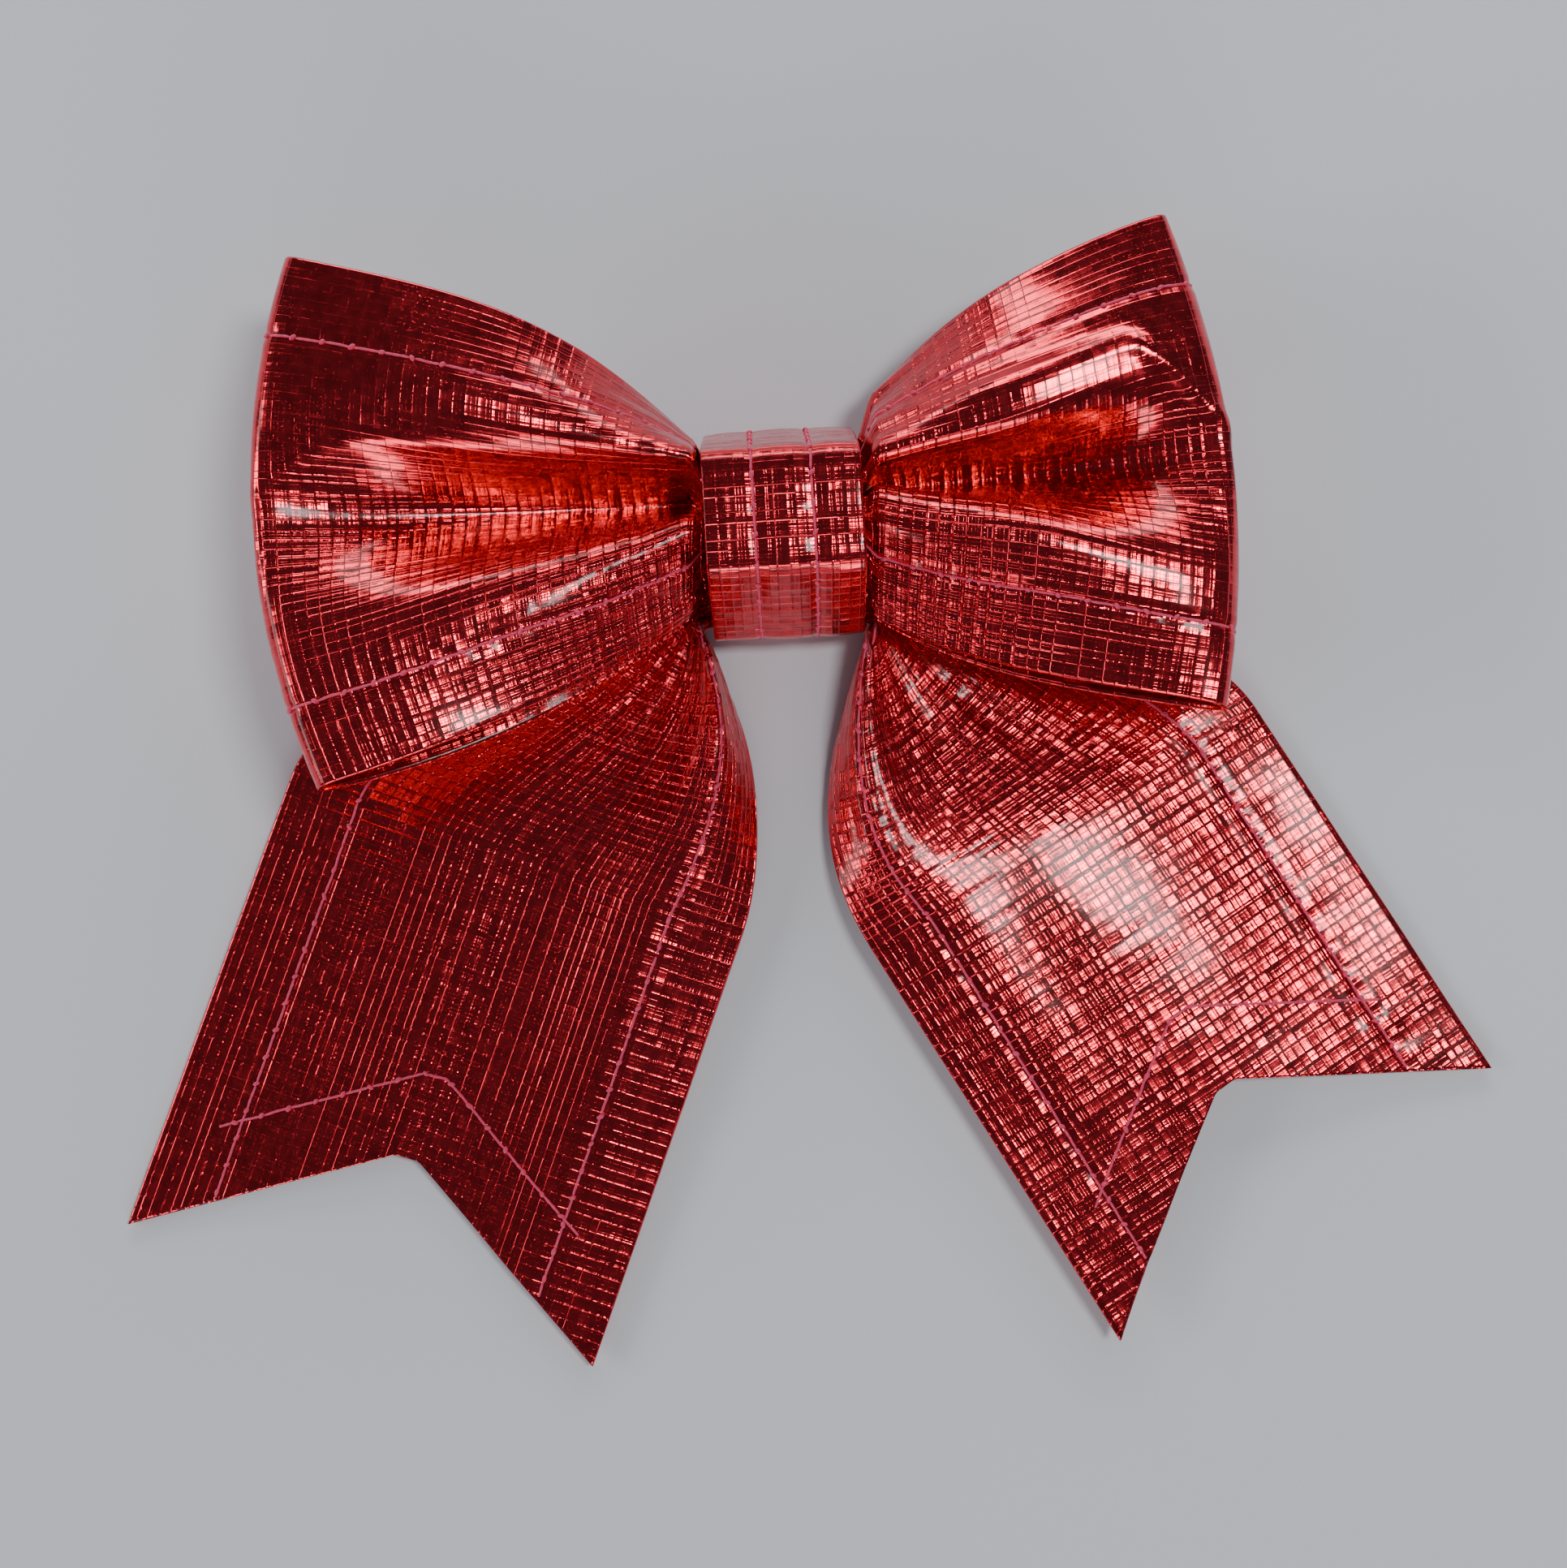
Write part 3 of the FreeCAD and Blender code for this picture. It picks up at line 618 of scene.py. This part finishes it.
def weave_coordinates(nodes):
    """Millimetres along and across the ribbon."""
    uv = nodes.add("ShaderNodeUVMap", uv_map="weave")
    split = nodes.add("ShaderNodeSeparateXYZ")
    nodes.link(uv.outputs["UV"], split.inputs[0])
    return [nodes.math("MULTIPLY", split.outputs[axis], 100.0) for axis in (0, 1)]


def facet_layer(nodes, along, across, pitch, tilt, seed):
    """Height, in millimetres, of flat facets between irregular threads, each tilted at random."""
    wander_a = nodes.math("MULTIPLY", nodes.noise(nodes.math("MULTIPLY", along, 0.8), seed, 0.0, 3.0), 1.5)
    wander_c = nodes.math("MULTIPLY", nodes.noise(seed, nodes.math("MULTIPLY", across, 0.8), 3.0, 3.0), 1.5)
    cells, shares = [], []
    for value, wander, size in zip((along, across), (wander_a, wander_c), pitch):
        scaled = nodes.math("DIVIDE", nodes.math("ADD", value, wander), size)
        cells.append(nodes.math("FLOOR", scaled))
        shares.append(nodes.math("FRACT", scaled))
    random = nodes.add("ShaderNodeTexWhiteNoise", noise_dimensions="3D")
    nodes.link(nodes.join(cells[0], cells[1], seed), random.inputs["Vector"])
    split = nodes.add("ShaderNodeSeparateColor")
    nodes.link(random.outputs["Color"], split.inputs[0])
    height = None
    for share, wish, size in zip(shares, split.outputs, pitch):
        slope = nodes.math("MULTIPLY", nodes.math("SUBTRACT", wish, 0.5), 2 * tilt * size)
        part = nodes.math("MULTIPLY", slope, nodes.math("SUBTRACT", share, 0.5))
        height = part if height is None else nodes.math("ADD", height, part)
        valley = nodes.math("ABSOLUTE", nodes.math("SUBTRACT", share, 0.5))
        valley = nodes.math("POWER", nodes.math("MULTIPLY", valley, 2.0), 5.0)
        height = nodes.math("SUBTRACT", height, nodes.math("MULTIPLY", valley, tilt * size * 0.7))
    return height, split.outputs[2]


def foil_material(name, seed, colour):
    """Metallic foil laminated on a woven ground."""
    nodes = Nodes(name)
    along, across = weave_coordinates(nodes)
    relief = nodes.add("ShaderNodeAttribute", attribute_name="relief").outputs["Fac"]
    coarse, chance = facet_layer(nodes, along, across, (1.35, 1.0), 0.045, seed)
    fine, _ = facet_layer(nodes, along, across, (0.50, 0.42), 0.035, seed + 5.0)
    ribs = nodes.noise(nodes.math("MULTIPLY", along, 1.8), nodes.math("MULTIPLY", across, 0.16),
                       seed, 3.0)
    runs = nodes.noise(nodes.math("MULTIPLY", along, 0.16), nodes.math("MULTIPLY", across, 1.6),
                       seed + 2.0, 3.0)
    height = nodes.math("ADD", nodes.math("MULTIPLY", coarse, 1.25), nodes.math("MULTIPLY", fine, 0.6))
    height = nodes.math("MULTIPLY", height, nodes.math("ADD", 0.30, nodes.math("MULTIPLY", relief, 1.9)))
    deep_ribs = nodes.math("MULTIPLY", nodes.math("MULTIPLY", ribs, nodes.math("POWER", relief, 2.0)), 0.13)
    height = nodes.math("ADD", height, deep_ribs)
    height = nodes.math("ADD", height, nodes.math("MULTIPLY", runs, 0.018))
    shader = nodes.shader
    nodes.link(nodes.bump(height, MM), shader.inputs["Normal"])
    worn = nodes.noise(nodes.math("MULTIPLY", along, 0.7), nodes.math("MULTIPLY", across, 0.7),
                       seed + 7.0, 5.0)
    darker = tuple(channel * 0.72 for channel in colour)
    nodes.link(nodes.ramp(worn, ((0.30, darker), (0.62, colour))), shader.inputs["Base Color"])
    rough = nodes.math("ADD", nodes.math("MULTIPLY", chance, 0.08), nodes.math("MULTIPLY", worn, 0.16))
    nodes.link(nodes.math("ADD", rough, 0.05), shader.inputs["Roughness"])
    shader.inputs["Metallic"].default_value = 1.0
    shader.inputs["Coat Weight"].default_value = 0.35
    shader.inputs["Coat Roughness"].default_value = 0.12
    return nodes.material


def ground_material(name, seed, colour):
    """Woven ground on the back of the foil."""
    nodes = Nodes(name)
    along, across = weave_coordinates(nodes)
    warp = nodes.math("SINE", nodes.math("MULTIPLY", across, 2 * math.pi / 0.40))
    weft = nodes.math("SINE", nodes.math("MULTIPLY", along, 2 * math.pi / 0.46))
    fibres = nodes.noise(nodes.math("MULTIPLY", along, 5.0), nodes.math("MULTIPLY", across, 5.0), seed, 4.0)
    height = nodes.math("ADD", nodes.math("MULTIPLY", warp, weft), fibres)
    shader = nodes.shader
    nodes.link(nodes.bump(height, 0.04 * MM), shader.inputs["Normal"])
    pale = tuple(min(1.0, channel * 1.5 + 0.02) for channel in colour)
    nodes.link(nodes.ramp(fibres, ((0.35, colour), (0.65, pale))), shader.inputs["Base Color"])
    nodes.link(nodes.math("ADD", nodes.math("MULTIPLY", fibres, 0.3), 0.55), shader.inputs["Roughness"])
    shader.inputs["Sheen Weight"].default_value = 0.25
    return nodes.material


def solid_material(name, scale, stops, roughness, bump_mm, **sockets):
    """Material on object coordinates with mottled colour, roughness and grain."""
    nodes = Nodes(name)
    coordinates = nodes.add("ShaderNodeTexCoord")
    texture = nodes.add("ShaderNodeTexNoise")
    texture.inputs["Scale"].default_value = scale
    texture.inputs["Detail"].default_value = 5.0
    nodes.link(coordinates.outputs["Object"], texture.inputs["Vector"])
    factor = texture.outputs["Fac"]
    shader = nodes.shader
    nodes.link(nodes.ramp(factor, stops), shader.inputs["Base Color"])
    nodes.link(nodes.math("ADD", nodes.math("MULTIPLY", factor, 0.25), roughness - 0.12),
               shader.inputs["Roughness"])
    nodes.link(nodes.bump(factor, bump_mm * MM), shader.inputs["Normal"])
    for socket, value in sockets.items():
        shader.inputs[socket.replace("_", " ")].default_value = value
    return nodes.material


FOIL_RED = (0.86, 0.035, 0.055)
BAND_RED = (0.88, 0.035, 0.055)
GROUND_RED = (0.36, 0.022, 0.035)
MATERIALS = {
    "foil": foil_material("ribbon_foil", 1.0, FOIL_RED),
    "band": foil_material("band_foil", 21.0, BAND_RED),
    "ground": ground_material("ribbon_ground", 4.0, GROUND_RED),
    "thread": solid_material("thread", 9000, ((0.3, (0.66, 0.015, 0.09)), (0.7, (0.96, 0.09, 0.23))),
                             0.42, 0.05, Sheen_Weight=0.2, Coat_Weight=0.1),
    "tie": solid_material("tie_thread", 7000, ((0.3, (0.50, 0.02, 0.06)), (0.7, (0.80, 0.08, 0.16))),
                          0.5, 0.05, Sheen_Weight=0.4),
    "glue": solid_material("glue", 900, ((0.3, (0.80, 0.76, 0.62)), (0.7, (0.93, 0.91, 0.84))),
                           0.3, 0.05),
    "foam": solid_material("foam", 2600, ((0.3, (0.80, 0.80, 0.79)), (0.7, (0.95, 0.95, 0.94))),
                           0.8, 0.12),
    "adhesive": solid_material("adhesive", 700, ((0.3, (0.82, 0.81, 0.76)), (0.7, (0.90, 0.90, 0.87))),
                               0.25, 0.03),
}


# ---------------------------------------------------------------- the pieces

def finish_piece(nodes):
    for node in nodes:
        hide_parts(node)


def build_loop(name, loop, seed):
    """Cloth of one loop and the thread of its two hems."""
    main, columns = hem_columns(RIBBON_HALF, FLAP)
    side = flip = loop["side"]

    def slack(along, total):
        """Depth of the gathers: 1 at both ends of the strip, in the knot, and 0 further out."""
        return step_up(0.62, 1.0, np.abs(2 * along / total - 1))

    def relief(along, place, total):
        """Strength of the fine relief; out is 0 at the knot and 1 at the fold."""
        out = 1 - np.abs(2 * along / total - 1)
        near_knot = 1 - step_up(0.16, 0.62, out)
        lower = step_up(-0.1, 0.35, -place)
        flecks = bump(place + 0.02, 0.22) * step_up(0.30, 0.62, out)
        return 0.06 + (0.35 + 0.65 * lower) * near_knot + 0.25 * lower + 0.55 * flecks

    def crest(along, place, total):
        """Lift of the two crests of the front layer; out is 1 at the fold and 2 at the end behind."""
        out = 2 * along / total
        front = 1 - step_up(0.90, 1.02, out)
        line = loop["lines"][3][0] - loop["crest_drop"] * step_up(0.72, 1.02, out)
        sharp = bump(place - line, 0.055) * step_up(0.12, 0.4, out)
        lower = bump(place - loop["lines"][1][0], 0.06) * (1 - step_up(0.4, 0.8, out))
        return front * (loop["crest"] * sharp + 0.25 * lower)

    grid = loop_grid(loop, main)
    distance = np.repeat(lengths_along(grid[:, len(main) // 2])[:, None], len(main), axis=1)
    grid, depth = creased(grid, distance, main, flip, slack, relief, crest, seed)
    cloth = hemmed_ribbon(name + "_cloth", grid, distance, depth, main, columns, flip,
                          [MATERIALS["foil"], MATERIALS["ground"]])
    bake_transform(cloth)
    finish_piece([name + "_ribbon"])
    normals = grid_normals(grid) * flip
    lane = 1 - HEM / RIBBON_HALF
    for row, place in (("top", lane), ("bottom", -lane)):
        column = column_at(main, place)
        keep = slice(4, -4)
        thread = thread_row(f"{name}_{row}_thread", grid[keep, column], normals[keep, column],
                            [MATERIALS["thread"]], seed + column)
        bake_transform(thread)
        finish_piece([f"{name}_{row}_stitching"])
    return grid


def build_tail(name, tail, seed):
    """Cloth of one tail, from the knot to the dovetail, and its threads."""
    main, columns = hem_columns(RIBBON_HALF, FLAP)
    flip = tail["side"]

    def slack(along, total):
        """Depth of the gathers: 1 in the knot and 0 further out."""
        return 1 - step_up(0.05, 0.38, along / total)

    def relief(along, place, total):
        """Strength of the fine relief: patches, and more of it near the knot."""
        near_knot = 1 - step_up(0.10, 0.42, along / total)
        patches = 0.5 + 0.5 * noise(along / 12, place * 2.2, seed + 9)
        return tail["relief"] * (0.6 + 0.8 * patches) + 0.45 * near_knot

    def roll(along, place, total):
        """Lift of the long roll down the middle of the free part, and of a faint one beside it."""
        free = step_up(0.15, 0.45, along / total)
        return free * (0.75 * bump(place - 0.12, 0.45) + 0.15 * bump(place + 0.55, 0.12))

    stations = tail_stations(tail, main)
    grid = tail_surface(tail, stations, np.repeat(main[None, :], len(stations), axis=0))
    fan = lengths_along(grid[:, len(main) // 2])[np.argmax(stations[:, 0] >= 1)]
    distance = np.minimum(stations, 1) * fan + np.maximum(stations - 1, 0) * TAIL_UNIT
    grid, depth = creased(grid, distance, main, flip, slack, relief, roll, seed)
    cloth = hemmed_ribbon(name + "_tail_cloth", grid, distance, depth, main, columns, flip,
                          [MATERIALS["foil"], MATERIALS["ground"]])
    heading = math.radians(tail["heading"])
    along = np.array([math.cos(heading), math.sin(heading)])
    hinge = np.array(tail["middle"]) + along * HINGE_OFFSET
    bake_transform(cloth)
    finish_piece([name + "_tail_neck", name + "_tail_ribbon"])
    normals = grid_normals(grid) * flip
    lane = 1 - HEM / RIBBON_HALF
    distance = (grid[:, len(main) // 2, :2] - hinge) @ along
    neck_rows = int(np.argmax(distance > 0))
    for row, place in (("inner", -lane), ("outer", lane)):
        column = column_at(main, place)
        for part, rows, node in (("neck", slice(5, neck_rows + 1), f"{name}_neck_{row}_stitching"),
                                 ("tail", slice(neck_rows, -1), f"{name}_tail_{row}_stitching")):
            thread = thread_row(f"{name}_{part}_{row}_thread", grid[rows, column], normals[rows, column],
                                [MATERIALS["thread"]], seed + column)
            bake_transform(thread)
            finish_piece([node])
    wanted = tail_end(tail, main) - END_ROW_GAP / TAIL_UNIT
    columns = [column for column in range(len(main)) if abs(main[column]) <= END_ROW_REACH]
    line, line_normals = (np.array([[np.interp(wanted[column], stations[:, column], field[:, column, axis])
                                     for axis in range(3)] for column in columns])
                          for field in (grid, normals))
    thread = thread_row(name + "_tail_end_thread", line, line_normals, [MATERIALS["thread"]],
                        seed + 3, under=2 * PLY_HALF)
    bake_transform(thread)
    finish_piece([name + "_tail_end_stitching"])
    return grid


BAND_OUTLINE = ((8.6, 1.5), (11.7, 5.0), (6.3, 19.4))   # half profile: back, shoulder, front
BAND_HALF = 7.6
BAND_FLAP = 6.6
BAND_ROUND = 2.2
BAND_ROW = 2.9
BAND_YAW = 3.5
BAND_LAP = 4.0                # overlap at the back, each side of the middle
BAND_LAP_DEPTH = 0.62         # how far the first end lies inside the last
BAND_LAP_RAMP = 4             # over which it comes up to the band again
KNOT_MIDDLE_Z = 10.0
TIE_TURNS = 5
TIE_STEPS = 56                # per turn
TIE_INSET = 0.2
TIE_RADIUS = 0.19
TIE_SQUARENESS = 2.6          # 2 is an ellipse, more is nearer to a rectangle
WAIST_ROWS = 32
WAIST_PINCH = 0.14            # share by which a gathered middle narrows under the tie


def band_path():
    """Middle line of the band in Y and Z: round the knot and a little over itself behind."""
    inset = PLY_GAP / 2 + PLY_HALF
    half = [(y - inset, z) for y, z in BAND_OUTLINE]
    back, front = BAND_OUTLINE[0][1] + inset, BAND_OUTLINE[2][1] - inset
    corners = [(half[0][0], back), (half[1][0], half[1][1]), (half[2][0], front),
               (-half[2][0], front), (-half[1][0], half[1][1]), (-half[0][0], back)]
    points = [(0.0, back)]
    for index, corner in enumerate(corners):
        before = np.array(points[-1]) if index == 0 else np.array(corners[index - 1])
        after = np.array(corners[index + 1] if index + 1 < len(corners) else (0.0, back))
        corner = np.array(corner)
        reach = BAND_ROUND * 0.9
        first = corner + unit(before - corner) * reach
        second = corner + unit(after - corner) * reach
        for share in np.linspace(0, 1, 9):
            points.append(tuple((1 - share) ** 2 * first + 2 * share * (1 - share) * corner
                                + share ** 2 * second))
    points.append((0.0, back))
    return np.array(points)


def build_band(seed):
    """Folded strip round the knot, its ends lapped behind, and its two rows of stitches."""
    main, columns = hem_columns(BAND_HALF, BAND_FLAP)
    ring = band_path()
    ring = np.concatenate([np.zeros((len(ring), 1)), ring], axis=1)
    total = lengths_along(ring)[-1]
    at = np.arange(-BAND_LAP, total + BAND_LAP, MESH_STEP)
    centre = resample(ring, at % total)
    inward = BAND_LAP_DEPTH * (1 - step_up(BAND_LAP, BAND_LAP + BAND_LAP_RAMP, at))
    tangent = unit(np.gradient(centre, axis=0))
    normal = np.cross(np.array([1.0, 0, 0]), tangent)
    normal *= np.sign(np.sum(normal * (centre - np.array([0, 0, KNOT_MIDDLE_Z])), axis=1).mean())
    centre = centre - normal * inward[:, None]
    grid = np.repeat(centre[:, None], len(main), axis=1)
    grid[..., 0] = main[None, :] * BAND_HALF
    flip = 1 if np.sum(grid_normals(grid) * normal[:, None]) > 0 else -1
    along, across = at[:, None] + 0 * main[None, :], main[None, :] * BAND_HALF + 0 * at[:, None]
    rows = bump(np.abs(across) - BAND_ROW, 0.5)
    lift = (0.07 * noise(along / 0.9, across / 7, seed) + 0.12 * noise(along / 5, across / 5, seed + 1)
            - 0.16 * rows + 0.10 * bump(across, 1.8) - 0.10 * bump(BAND_HALF - np.abs(across), 1.2))
    grid = grid + grid_normals(grid) * (flip * lift)[..., None]
    yaw = math.radians(BAND_YAW)
    turn = np.array([[math.cos(yaw), -math.sin(yaw), 0], [math.sin(yaw), math.cos(yaw), 0], [0, 0, 1]])
    grid = grid @ turn.T
    relief = 0.30 + 0.30 * np.abs(noise(along / 4, across / 4, seed + 2))
    cloth = hemmed_ribbon("knot_band_cloth", grid, along, relief, main, columns, flip,
                          [MATERIALS["band"], MATERIALS["ground"]])
    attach(cloth, "knot")
    finish_piece(["knot_band"])
    normals = grid_normals(grid) * flip
    for name, place in (("left", -BAND_ROW / BAND_HALF), ("right", BAND_ROW / BAND_HALF)):
        column = column_at(main, place)
        thread = thread_row(f"knot_{name}_thread", grid[:, column], normals[:, column],
                            [MATERIALS["thread"]], seed + column)
        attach(thread, "knot")
        finish_piece([f"knot_{name}_stitching"])


def plain_sheet(name, grid, flip, seed, pleats, materials):
    """Closed sheet of one ply, without hems, gathered into pleats that are deepest in the middle."""
    rows, count = grid.shape[:2]
    along = lengths_along(grid[:, count // 2])
    across = np.linspace(-RIBBON_HALF, RIBBON_HALF, count)
    wander = 0.3 * noise(along[:, None] / 4, across[None, :] / 6, seed)
    depth, pitch, raised = pleats
    deep = depth * (0.3 + 0.7 * np.sin(np.pi * along / along[-1]))
    lift = deep[:, None] * (raised + np.sin(2 * np.pi * (across[None, :] / pitch + wander)))
    normals = grid_normals(grid) * flip
    grid = grid + normals * lift[..., None]
    points = np.concatenate([(grid + normals * PLY_HALF).reshape(-1, 3),
                             (grid - normals * PLY_HALF).reshape(-1, 3)])
    uv = np.stack(np.broadcast_arrays(along[:, None], across[None, :]), axis=-1).reshape(-1, 2)
    faces, slots = two_skins(rows, count, flip)
    return new_object(name, points, faces, materials, np.concatenate([uv, uv]), slots,
                      np.full(len(points), 0.5))


# What each gathered middle rests on, and the depth, pitch and raise of its pleats.
PLEATS = {"loop_waist_front": (0.85, 3.8, 0.0), "loop_waist_back": (0.85, 3.8, 0.0),
          "tail_waist_cloth": (0.55, 2.5, 0.6)}


def build_waist(left_loop, right_loop, left_tail, right_tail):
    """Gathered middles of the strips inside the knot, and the thread wound round them."""
    shares = np.linspace(0, 1, WAIST_ROWS)[:, None, None]
    foil = [MATERIALS["foil"], MATERIALS["ground"]]
    for name, left, right, node in (("loop_waist_front", left_loop[0], right_loop[0], "loop_waist"),
                                    ("loop_waist_back", left_loop[-1], right_loop[-1], "loop_waist"),
                                    ("tail_waist_cloth", left_tail[0], right_tail[0], "tail_waist")):
        grid = mix(left[None], right[None], shares)
        pinch = 1 - WAIST_PINCH * np.sin(np.pi * shares)
        middle = grid.mean(axis=1, keepdims=True)
        grid = middle + (grid - middle) * np.concatenate([np.ones_like(pinch), pinch, pinch], axis=2)
        flip = 1 if grid_normals(grid)[..., 2].mean() > 0 else -1
        if name == "loop_waist_back":
            flip = -flip
        piece = plain_sheet(name, grid, flip, len(name), PLEATS[name], foil)
        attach(piece, "knot")
        finish_piece([node])
    low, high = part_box("waist_tie")
    angle = np.linspace(0, 2 * np.pi * TIE_TURNS, TIE_TURNS * TIE_STEPS)
    half_y, half_z = [(high[axis] - low[axis]) / 2 / MM - TIE_INSET for axis in (1, 2)]
    centre_z = (high.z + low.z) / 2 / MM
    power = 2 / TIE_SQUARENESS
    y = np.sign(np.cos(angle)) * np.abs(np.cos(angle)) ** power * half_y
    z = np.sign(np.sin(angle)) * np.abs(np.sin(angle)) ** power * half_z + centre_z
    x = np.linspace(-1.0, 1.0, len(angle)) + 0.08 * noise(angle, 0 * angle, 3)
    path = np.stack([x, y, z], axis=1)
    ups = unit(path - np.array([0, 0, centre_z]))
    points, faces = tube(path, ups, np.full(len(path), TIE_RADIUS))
    tie = new_object("waist_tie_thread", points, faces, [MATERIALS["tie"]])
    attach(tie, "knot")
    finish_piece(["waist_tie"])


def dress_cad_nodes():
    """Materials of the CAD nodes that stay: the glue, the foam pad and its adhesive."""
    for node, material in (("knot_glue", "glue"), ("foam_pad", "foam"), ("pad_adhesive", "adhesive")):
        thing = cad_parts[node]
        thing.data.materials.clear()
        thing.data.materials.append(MATERIALS[material])


make_camera()
make_light()
make_floor()
left_loop = build_loop("left_loop", LEFT_LOOP, 11)
right_loop = build_loop("right_loop", RIGHT_LOOP, 31)
left_tail = build_tail("left", LEFT_TAIL, 51)
right_tail = build_tail("right", RIGHT_TAIL, 71)
build_band(91)
build_waist(left_loop, right_loop, left_tail, right_tail)
dress_cad_nodes()
